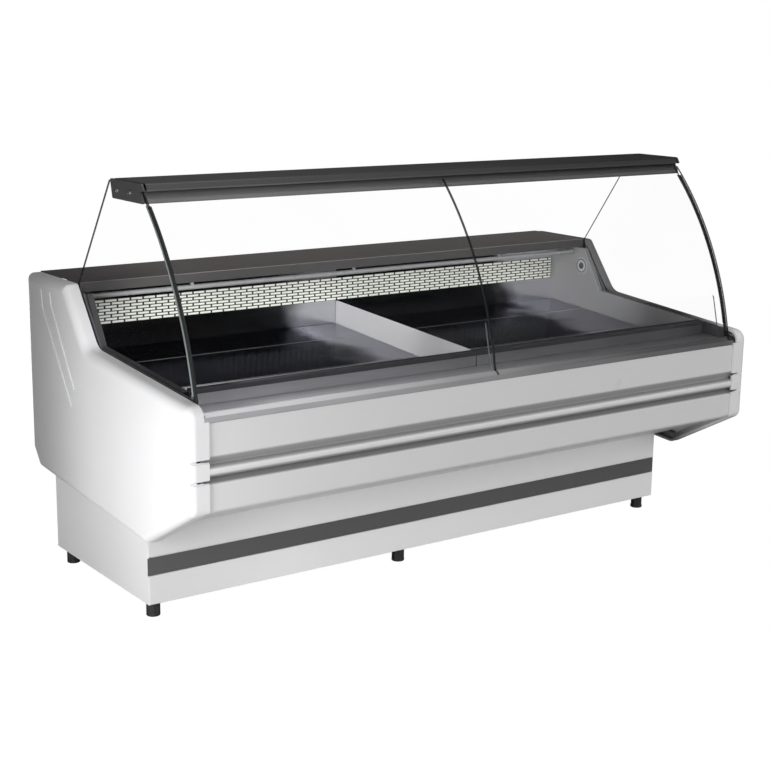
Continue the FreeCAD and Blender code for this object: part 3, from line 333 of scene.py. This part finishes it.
def painted_inner_rim_shade(material):
    """Painted shade on the inner rim of the right cheek, behind its nose."""
    tree = material.node_tree
    place = axes(tree)
    inside = carried(tree, place["X"], (1.020, 1.012))
    behind = carried(tree, place["Y"], (-0.40, -0.25))
    mask = maths(tree, "MULTIPLY", inside, behind)
    multiply_color(material, maths(tree, "SUBTRACT", 1.0, maths(tree, "MULTIPLY", mask, 0.85)))


def edge_strip():
    """Black strip, nearly matt, that is dark grey on its front half."""
    material = plastic("lip_edge_plastic", (0.010, 0.010, 0.011), 0.6, 0, 0, 0.1)
    shader = material.node_tree.nodes["Principled BSDF"]
    shader.inputs["Specular IOR Level"].default_value = 0.2
    low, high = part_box("lip_edge_strip")
    depth = high.y - low.y
    stepped_along(material, "Y", [(low.y, 4.5), (low.y + 0.5 * depth, 4.5),
                                  (low.y + 0.6 * depth, 1.0)])
    return material


def foam_material():
    """Rigid foam with fine cells."""
    material, tree, shader = new_material("rigid_foam")
    cells = tree.nodes.new("ShaderNodeTexVoronoi")
    cells.inputs["Scale"].default_value = 400
    tree.links.new(stretched_coordinates(tree, (1, 1, 1)), cells.inputs["Vector"])
    tone = blended(tree, cells.outputs["Distance"], (0.05, 0.05, 0.052), (0.08, 0.08, 0.082))
    tree.links.new(tone, shader.inputs["Base Color"])
    shader.inputs["Roughness"].default_value = 0.9
    bumped(tree, shader, cells.outputs["Distance"], 0.4, 0.001)
    return material


# ------------------------------------------------------------------------ paint
WHITE = painted("white_powder_coat", (0.80, 0.80, 0.80), 0.32, coat=0.15, variation=0.012)
PLINTH = painted("plinth_powder_coat", (0.86, 0.86, 0.86), 0.4, variation=0.012)
# Painted shade along the plinth's front, darkest just inside its left end.
stepped_along(PLINTH, "X", [(-0.975, 1.0), (-0.971, 0.8), (-0.5, 0.97)])
PANEL = grooved_panel()
BUMPER = painted("bumper_paint", (0.82, 0.82, 0.82), 0.32, coat=0.15, variation=0.012)
# Painted shade on the bumper tube: darker above and below a lit band round its middle.
stepped_along(BUMPER, "Z", [(0.4980, 0.4), (0.5044, 0.45), (0.5108, 1.0), (0.5210, 1.0),
                            (0.5262, 0.42), (0.5300, 0.38)])
DARK = painted("dark_brown_paint", (0.185, 0.168, 0.168), 0.45, variation=0.05)
# Painted shade: the worktop darkens towards its left end.
toned_along(DARK, "X", -1.0, -0.55, 0.42, 1.0)
# Painted shade: a darker colour for the strip on the worktop's front edge.
FASCIA_SHADE = painted("fascia_painted_shade", (0.05, 0.048, 0.048), 0.4, variation=0.05)
CANOPY = painted("canopy_paint", (0.11, 0.107, 0.107), 0.38, variation=0.05)
# Painted light and shade: the canopy is lighter at its left end and darker at its right, with
# painted bands of highlight and shade down its front.
toned_along(CANOPY, "X", -1.0, 1.0, 1.2, 0.5)
stepped_along(CANOPY, "Z", [(1.1720, 1.3), (1.1800, 1.4), (1.1906, 0.95), (1.2038, 0.8),
                            (1.2054, 1.05), (1.2075, 1.05), (1.2091, 0.48),
                            (1.2242, 0.48), (1.2245, 0.75)])
CAPS = painted("end_cap_paint", (0.075, 0.073, 0.073), 0.4, variation=0.05)
BAND = painted("grey_band_paint", (0.088, 0.088, 0.089), 0.45, variation=0.04)
ENAMEL = painted("compressor_enamel", (0.02, 0.02, 0.02), 0.25, coat=0.4)
LENS = painted("display_lens", (0.006, 0.006, 0.008), 0.06, coat=0.6, variation=0.1)

# ------------------------------------------------------------------------ metal
DECK = deck_with_painted_reflection("deck_stainless")
LEDGE = brushed("ledge_stainless", (0.40, 0.40, 0.42), 0.42, metallic=0.6)
# Painted reflection and shade: the front worktop darkens towards the right and brightens towards
# its front edge.
toned_along(LEDGE, "X", -0.95, 0.9, 0.95, 0.40)
toned_along(LEDGE, "Y", -0.475, -0.385, 2.3, 1.3)
LIP = brushed("lip_stainless", (0.32, 0.32, 0.335), 0.42, metallic=0.6)
# Painted shade: the lip darkens towards the right.
toned_along(LIP, "X", -0.95, 0.9, 0.98, 0.40)
WALL = brushed("wall_stainless", (0.78, 0.78, 0.80), 0.4, (300, 300, 3), metallic=0.3)
# Painted light and shade on the end walls and divider: dark at the left end, brightest near the
# middle, dark past the right end wall's face, and varying from front to back.
stepped_along(WALL, "X", [(-0.9, 0.1), (-0.5, 1.0), (0.0, 1.2), (0.94, 0.98),
                          (0.9516, 0.98), (0.9532, 0.25)])
stepped_along(WALL, "Y", [(-0.45, 1.05), (-0.201, 0.74), (0.048, 0.86), (0.38, 1.15)])
LINER_STEEL = brushed("liner_stainless", (0.55, 0.56, 0.57), 0.3)
SEAM = brushed("tray_edge_stainless", (0.20, 0.20, 0.21), 0.4, metallic=0.2)
CLAMP = brushed("clamp_aluminium", (0.85, 0.85, 0.86), 0.4, (2, 300, 300), metallic=0.3)
# Painted light and shade: the glass foot clamps darken steeply towards the right.
toned_along(CLAMP, "X", -0.95, 0.8, 1.0, 0.14)
TRIM = brushed("panel_trim", (0.55, 0.55, 0.57), 0.35, (2, 600, 600))
# Painted light and shade: the panel trim darkens towards the right.
toned_along(TRIM, "X", -1.0, 1.0, 1.1, 0.4)
ZINC = brushed("galvanised_sheet", (0.55, 0.56, 0.57), 0.45, (8, 8, 8))
FINS = brushed("fin_aluminium", (0.75, 0.76, 0.78), 0.35, (400, 20, 20))
COPPER = brushed("drawn_copper", (0.80, 0.45, 0.30), 0.25, (20, 20, 20))

# ----------------------------------------------------- plastic, rubber and foam
CHEEK = plastic("white_moulded_abs", (0.86, 0.86, 0.87), 0.45, 0, 0, 0.01)
# Painted shade: the left cheek darkens towards its rear.
toned_along(CHEEK, "Y", 0.05, 0.52, 1.0, 0.55)
# The right cheek's white is a lighter copy of the left's, as painted light, with painted shade
# on its inner rim.
RIGHT_CHEEK = plastic("white_moulded_abs_right", (0.90, 0.90, 0.91), 0.45, 0, 0, 0.01)
painted_inner_rim_shade(RIGHT_CHEEK)
BLACK = plastic("black_plastic", (0.018, 0.018, 0.019), 0.5, 500, 0.1, 0.1)
STRIP = edge_strip()
LINER = plastic("dark_liner", (0.10, 0.10, 0.11), 0.35, 500, 0.04, 0.06)
RUBBER = plastic("black_rubber", (0.012, 0.012, 0.012), 0.6, 500, 0.1, 0.1)
CELL = plastic("grille_cell", (0.90, 0.92, 0.84), 0.4, 400, 0.05, 0.05)
LAMP = plastic("lamp_tube", (0.26, 0.26, 0.265), 0.3, 500, 0.02, 0.03)
KEYS = plastic("key_plastic", (0.45, 0.46, 0.48), 0.4)
CONTROL = plastic("control_plastic", (0.05, 0.05, 0.055), 0.5)
GREEN = plastic("indicator_green", (0.03, 0.30, 0.06), 0.3)
FOAM = foam_material()

# ------------------------------------------------------------------------ glass
PANE = pane("curved_glass", (0.03, 0.035, 0.035), True, False)
END_PANE = pane("end_glass", (0.02, 0.022, 0.022), False, False)
GUARD = pane("guard_glass", (0.16, 0.17, 0.18), True, True)
EDGE = plastic("polished_glass_edge", (0.30, 0.34, 0.33), 0.2, 300, 0.02, 0.1)

# ------------------------------------------------------- which node has which finish
FINISH = {
    WHITE: ["tub_shell", "rear_door_left", "rear_door_right"],
    BUMPER: ["bumper_tube"],
    PANEL: ["front_panel"],
    PLINTH: ["plinth_front", "plinth_sides", "plinth_rear_grille"],
    CHEEK: ["end_cheek_left"],
    RIGHT_CHEEK: ["end_cheek_right"],
    DARK: ["worktop"],
    CANOPY: ["canopy_beam"],
    BAND: ["plinth_band"],
    DECK: ["deck_tray_left_rear", "deck_tray_left_front", "deck_tray_right_rear",
           "deck_tray_right_front", "rear_wall"],
    LEDGE: ["front_worktop"],
    LIP: ["front_lip"],
    CLAMP: ["glass_foot_left", "glass_foot_right"],
    STRIP: ["lip_edge_strip"],
    WALL: ["end_walls", "bay_divider"],
    LINER_STEEL: ["tub_liner", "deck_bearers", "glass_hinge_brackets", "canopy_screws"],
    ZINC: ["base_frame", "condenser_fan_shroud", "evaporator_fan_panel", "door_hinges"],
    FINS: ["condenser_coil", "evaporator_coil"],
    COPPER: ["refrigerant_pipes"],
    BLACK: ["cable_gland", "condenser_fan_rotor", "evaporator_fan_left", "evaporator_fan_right",
            "power_switch"],
    CAPS: ["canopy_end_caps"],
    LINER: ["cheek_liners"],
    CELL: ["air_grille"],
    LAMP: ["under_worktop_lamp"],
    KEYS: ["key_up", "key_down"],
    CONTROL: ["control_panel"],
    ENAMEL: ["compressor"],
    PANE: ["front_glass_left", "front_glass_right"],
    END_PANE: ["side_glasses"],
    GUARD: ["guard_glass"],
    FOAM: ["tub_foam"],
}


def finish_node(name, material):
    """Give a node of the frame its one finish."""
    node = NODES[name]
    node.data.materials.clear()
    node.data.materials.append(material)


for finish, names in FINISH.items():
    for node_name in names:
        finish_node(node_name, finish)
for node_name in NODES:
    if node_name.startswith("foot_"):
        finish_node(node_name, BLACK)


# =================================================================== mesh helpers
def piece(name, mesh_data, material, body=CABINET, bevel=0.0, smooth=True):
    """Object from a bmesh, with its finish, that rides on a body."""
    mesh = bpy.data.meshes.new(name)
    bmesh.ops.recalc_face_normals(mesh_data, faces=mesh_data.faces)
    mesh_data.to_mesh(mesh)
    mesh_data.free()
    mesh.materials.append(material)
    obj = bpy.data.objects.new(name, mesh)
    bpy.context.scene.collection.objects.link(obj)
    if smooth:
        mesh.shade_smooth()
    if bevel > 0:
        edge = obj.modifiers.new("bevel", "BEVEL")
        edge.width = bevel
        edge.segments = 2
        edge.limit_method = "ANGLE"
        edge.harden_normals = True
    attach(obj, body)
    return obj


def add_block(mesh, low, high):
    """Rectangular block between two corners."""
    centre = [(a + b) / 2 for a, b in zip(low, high)]
    size = [b - a for a, b in zip(low, high)]
    matrix = Matrix.Translation(centre) @ Matrix.Diagonal((*size, 1))
    bmesh.ops.create_cube(mesh, size=1.0, matrix=matrix)


def join_rings(mesh, first, second):
    """Faces between two closed rings of as many points each."""
    for i in range(len(first)):
        j = (i + 1) % len(first)
        mesh.faces.new((first[i], first[j], second[j], second[i]))


def add_section(mesh, points, x0, x1):
    """Closed (y, z) outline run from x0 to x1."""
    start, end = ([mesh.verts.new((x, y, z)) for y, z in points] for x in (x0, x1))
    join_rings(mesh, start, end)
    mesh.faces.new(start[::-1])
    mesh.faces.new(end)


def add_ring(mesh, x, y, z, inner, outer, thickness):
    """Flat ring whose axis runs along X, or a disc where the inner radius is 0."""
    count = 32
    turns = [2 * math.pi * i / count for i in range(count)]
    sides = [[[mesh.verts.new((at, y + r * math.cos(a), z + r * math.sin(a))) for a in turns]
              for r in (inner, outer) if r > 0] for at in (x - thickness / 2, x + thickness / 2)]
    for rings in sides:
        if len(rings) == 1:
            mesh.faces.new(rings[0])
        else:
            join_rings(mesh, *rings)
    for first, second in zip(*sides):
        join_rings(mesh, first, second)


def deck_z(y):
    """Height of the sloped display deck."""
    return DECK_AT_ZERO + DECK_SLOPE * y


def arc_y(z, radius):
    """Where a curve round the front glass's axis stands at a height."""
    return ARC_Y - math.sqrt(radius ** 2 - (z - ARC_Z) ** 2)


# ======================================================================== details
def air_grille():
    """Light cells laid like bricks on a black backing plate."""
    low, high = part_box("air_grille")
    rows = 8
    pitch = 0.043
    joint = 0.0030
    upright = 0.0060
    shortest = 0.003
    plate_front = high.y - 0.0012
    plate_back = high.y - 0.0002
    row_height = (high.z - low.z) / rows
    backing = bmesh.new()
    add_block(backing, (low.x, plate_front, low.z), (high.x, plate_back, high.z))
    back = piece("air_grille_backing", backing, BLACK, smooth=False)
    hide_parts("air_grille")
    cells = bmesh.new()
    for row in range(rows):
        start = low.x - (pitch / 2 if row % 2 else 0.0)
        z0 = low.z + row * row_height
        for column in range(int((high.x - low.x) / pitch) + 2):
            x0 = max(start + column * pitch, low.x)
            x1 = min(start + (column + 1) * pitch, high.x)
            if x1 - x0 < upright + shortest:
                continue
            add_block(cells, (x0 + upright / 2, low.y, z0 + joint / 2),
                      (x1 - upright / 2, high.y - 0.001, z0 + row_height - joint / 2))
    piece("air_grille_cells", cells, CELL, bevel=0.0006)


def curved_strips(name, material, spans, outer, depth, heights):
    """Strips that follow the glass curve at both ends of the counter."""
    mesh = bmesh.new()
    steps = 24
    z0, z1 = heights
    levels = [z0 + (z1 - z0) * i / steps for i in range(steps + 1)]
    outline = [(arc_y(z, outer), z) for z in levels]
    outline += [(arc_y(z, outer - depth), z) for z in reversed(levels)]
    for x0, x1 in spans:
        add_section(mesh, outline, x0, x1)
    piece(name, mesh, material, smooth=False)


def glass_seals():
    """Black seals behind the ends of the front panes, and the polished edges they meet."""
    low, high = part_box("side_glasses")
    inner = ARC_R - GLASS_THICK
    seal_width = 0.008
    seal_depth = 0.0058
    seal_outer = inner - 0.0006
    seal_end = high.x - 0.0015
    spans = [(-seal_end, -seal_end + seal_width), (seal_end - seal_width, seal_end)]
    curved_strips("glass_seals", RUBBER, spans, seal_outer, seal_depth,
                  SEAL_HEIGHTS)
    proud = 0.0002
    edge_width = GLASS_THICK + proud
    edge_depth = 0.005
    edge_outer = seal_outer - seal_depth - 0.0004
    spans = [(low.x - proud, low.x + edge_width), (high.x - edge_width, high.x + proud)]
    curved_strips("side_glass_edges", EDGE, spans, edge_outer, edge_depth,
                  SIDE_EDGE_HEIGHTS)


def panel_top_trim():
    """Slim metal trim folded over the sloping top edge of the front panel."""
    low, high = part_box("front_panel")
    outline = [(-0.4934, 0.6562), (-0.5018, 0.6445), (-0.5018, 0.6430),
               (-0.5008, 0.6430), (-0.5008, 0.6440), (-0.4928, 0.6554)]
    mesh = bmesh.new()
    add_section(mesh, outline, low.x, high.x)
    piece("panel_top_trim", mesh, TRIM, smooth=False)


def worktop_shade_strip():
    """Thin strip on the front edge of the worktop, darker as painted shade, bevelled along its
    top.
    """
    low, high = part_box("worktop")
    outer = low.y - 0.0004
    inner = low.y + 0.0006
    mesh = bmesh.new()
    add_section(mesh, [(outer, low.z), (outer, high.z - 0.0022),
                       (inner, high.z - 0.0012), (inner, low.z)], low.x, high.x)
    piece("worktop_shade_strip", mesh, FASCIA_SHADE, smooth=False)


def tray_edges():
    """Folded steel edge along the front of each deck tray."""
    width = 0.0020
    sunk = 0.0004
    proud = 0.0003
    end_gap = 0.002
    for side in ("left", "right"):
        for row in ("rear", "front"):
            tray = side + "_" + row
            low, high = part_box("deck_tray_" + tray)
            front = low.y + 0.0006
            back = front + width
            outline = [(front, deck_z(front) - sunk), (front, deck_z(front) + proud),
                       (back, deck_z(back) + proud), (back, deck_z(back) - sunk)]
            mesh = bmesh.new()
            add_section(mesh, outline, low.x + end_gap, high.x - end_gap)
            piece("tray_edge_" + tray, mesh, SEAM, "tray_" + tray + "_body",
                  smooth=False)


def louvre_hoods():
    """Pressed hoods over the slots of the rear cover."""
    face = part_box("plinth_rear_grille")[1].y
    columns, rows = 3, 9
    first_x, first_z = 0.300, 0.090
    column_pitch, row_pitch = 0.205, 0.020
    end_gap, length = 0.001, 0.178
    lip = face + 0.0060
    mesh = bmesh.new()
    for column in range(columns):
        x0 = first_x + column_pitch * column + end_gap
        for row in range(rows):
            z = first_z + row_pitch * row
            outline = [(face, z + 0.0098), (lip, z + 0.0030), (lip, z + 0.0018),
                       (face, z + 0.0082)]
            add_section(mesh, outline, x0, x0 + length)
    piece("rear_louvre_hoods", mesh, PLINTH, smooth=False)


def screw_heads(name, places, radius, height):
    """Round screw heads on faces that look to +Y, a little wider at their outer ends."""
    taper = 0.8
    upright = Matrix.Rotation(math.pi / 2, 4, "X")
    mesh = bmesh.new()
    for x, y, z in places:
        matrix = Matrix.Translation((x, y + height / 2, z)) @ upright
        bmesh.ops.create_cone(mesh, cap_ends=True, segments=20, radius1=radius,
                              radius2=radius * taper, depth=height, matrix=matrix)
    piece(name, mesh, LINER_STEEL, smooth=False)


def rear_fixings():
    """Screws of the rear cover and of the control panel."""
    sunk = 0.0002
    low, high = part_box("plinth_rear_grille")
    end_inset, edge_inset = 0.03, 0.018
    columns = (low.x + end_inset, -0.32, 0.26, high.x - end_inset)
    heights = (low.z + edge_inset, high.z - edge_inset)
    places = [(x, high.y - sunk, z) for x in columns for z in heights]
    screw_heads("rear_cover_screws", places, radius=0.0045, height=0.0022)
    low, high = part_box("control_panel")
    inset = 0.009
    corner_x = (low.x + inset, high.x - inset)
    corner_z = (low.z + inset, high.z - inset)
    places = [(x, high.y - sunk, z) for x in corner_x for z in corner_z]
    screw_heads("control_panel_screws", places, radius=0.003, height=0.0014)


def wall_covers():
    """Dark rings round the covers on the end walls, and their turned centres."""
    mesh = bmesh.new()
    for x in (-COVER_FACE, COVER_FACE):
        for inner, outer in COVER_RINGS:
            add_ring(mesh, x, *COVER_CENTRE, inner, outer, thickness=0.0008)
    piece("end_wall_cover_rings", mesh, LINER, smooth=False)


def display_window():
    """Dark lens of the temperature display, with a small green lamp beside it."""
    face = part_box("control_panel")[1].y
    sunk = face - 0.0003
    lens_x, lens_z = (0.7704, 0.8296), (0.7264, 0.7596)
    lens = bmesh.new()
    add_block(lens, (lens_x[0], sunk - 0.0012, lens_z[0]), (lens_x[1], sunk, lens_z[1]))
    piece("display_lens", lens, LENS, bevel=0.0003)
    lamp_x, lamp_z = (0.752, 0.757), (0.738, 0.743)
    lamp = bmesh.new()
    add_block(lamp, (lamp_x[0], sunk, lamp_z[0]), (lamp_x[1], sunk + 0.0009, lamp_z[1]))
    piece("indicator_lamp", lamp, GREEN, bevel=0.0006)


air_grille()
louvre_hoods()
rear_fixings()
display_window()
wall_covers()
tray_edges()
glass_seals()
panel_top_trim()
worktop_shade_strip()


# ========================================================================== stage
def floor():
    """Plain pale floor, seen near white, that gives back a softer light."""
    mesh = bpy.data.meshes.new("floor")
    half = 30.0
    mesh.from_pydata([(-half, -half, 0), (half, -half, 0), (half, half, 0), (-half, half, 0)],
                     [], [(0, 1, 2, 3)])
    ground = bpy.data.objects.new("floor", mesh)
    bpy.context.scene.collection.objects.link(ground)
    material, tree, shader = new_material("pale_floor")
    tone = blended(tree, noise(tree, 1.5, 3), (0.44, 0.44, 0.44), (0.46, 0.46, 0.46))
    tree.links.new(tone, shader.inputs["Base Color"])
    shader.inputs["Roughness"].default_value = 0.9
    glow = tree.nodes.new("ShaderNodeEmission")
    glow.inputs["Color"].default_value = (1, 1, 1, 1)
    glow.inputs["Strength"].default_value = FLOOR_GLOW
    path = tree.nodes.new("ShaderNodeLightPath")
    mix = tree.nodes.new("ShaderNodeMixShader")
    seen = maths(tree, "MULTIPLY", path.outputs["Is Camera Ray"], FLOOR_GLOW_SHARE)
    tree.links.new(seen, mix.inputs["Fac"])
    tree.links.new(shader.outputs[0], mix.inputs[1])
    tree.links.new(glow.outputs[0], mix.inputs[2])
    output = next(node for node in tree.nodes if node.type == "OUTPUT_MATERIAL")
    tree.links.new(mix.outputs[0], output.inputs["Surface"])
    mesh.materials.append(material)


def aim(obj, at, target):
    """Put a lamp at a place, facing a target."""
    obj.location = at
    obj.rotation_mode = "QUATERNION"
    obj.rotation_quaternion = (Vector(target) - Vector(at)).to_track_quat("-Z", "Y")


def soft_light(name, at, target, size, power, spread=180.0, glossy=True):
    """Area light; a narrow spread keeps it on what it faces, and glossy lets steel mirror it."""
    data = bpy.data.lights.new(name, "AREA")
    data.spread = math.radians(spread)
    data.shape = "RECTANGLE"
    data.size, data.size_y = size
    data.energy = power
    lamp = bpy.data.objects.new(name, data)
    bpy.context.scene.collection.objects.link(lamp)
    lamp.visible_camera = False
    lamp.visible_glossy = glossy
    aim(lamp, at, target)


def world():
    """White to look at; for light and reflections, bright in front and dim behind."""
    sky = bpy.data.worlds.new("studio")
    bpy.context.scene.world = sky
    sky.use_nodes = True
    tree = sky.node_tree
    tree.nodes.clear()
    output = tree.nodes.new("ShaderNodeOutputWorld")
    strength = carried(tree, axes(tree, "Generated")["Y"], (-0.9, -0.2),
                       (FRONT_STRENGTH, REAR_STRENGTH), smooth=True)
    studio = tree.nodes.new("ShaderNodeBackground")
    studio.inputs["Color"].default_value = (1, 1, 1, 1)
    tree.links.new(strength, studio.inputs["Strength"])
    white = tree.nodes.new("ShaderNodeBackground")
    white.inputs["Color"].default_value = (1, 1, 1, 1)
    white.inputs["Strength"].default_value = 1.0
    path = tree.nodes.new("ShaderNodeLightPath")
    mix = tree.nodes.new("ShaderNodeMixShader")
    tree.links.new(path.outputs["Is Camera Ray"], mix.inputs["Fac"])
    tree.links.new(studio.outputs[0], mix.inputs[1])
    tree.links.new(white.outputs[0], mix.inputs[2])
    tree.links.new(mix.outputs[0], output.inputs["Surface"])


def camera():
    """Camera turned by its yaw, its pitch and a slight roll."""
    data = bpy.data.cameras.new("camera")
    data.lens = CAMERA_LENS
    data.sensor_width = 36.0
    data.clip_start = 0.05
    data.clip_end = 200.0
    view = bpy.data.objects.new("camera", data)
    bpy.context.scene.collection.objects.link(view)
    forward = Vector((-math.sin(CAMERA_YAW) * math.cos(CAMERA_PITCH),
                      math.cos(CAMERA_YAW) * math.cos(CAMERA_PITCH),
                      math.sin(CAMERA_PITCH)))
    level = forward.cross(Vector((0, 0, 1))).normalized()
    up = level.cross(forward)
    right = level * math.cos(CAMERA_ROLL) + up * math.sin(CAMERA_ROLL)
    up = right.cross(forward)
    turn = Matrix((right, up, -forward)).transposed()
    view.matrix_world = Matrix.Translation(CAMERA_AT) @ turn.to_4x4()
    bpy.context.scene.camera = view


floor()
world()
soft_light("side_key", (-2.0, -0.75, 0.50), (-1.03, -0.35, 0.35), (0.7, 0.7), 13)
soft_light("low_front", (0.4, -1.6, 0.13), (0.4, -0.16, 0.13), (2.3, 0.1), 0.24, spread=24)
soft_light("display", (-0.85, -0.15, 0.86), (0.9, 0.05, 0.76), (0.40, 0.24), 3.6, glossy=False)
soft_light("grille", (0.3, -0.1, 0.87), (0.3, 0.37, 0.78), (1.25, 0.05), 1.6, glossy=False)
soft_light("back", (0.0, 3.2, 0.45), (0.0, 0.5, 0.45), (2.4, 0.5), 30)
soft_light("top", (0.2, 0.1, 4.2), (0, 0, 0.6), (3.0, 2.0), 33)
camera()
bpy.context.scene.view_settings.view_transform = "Standard"
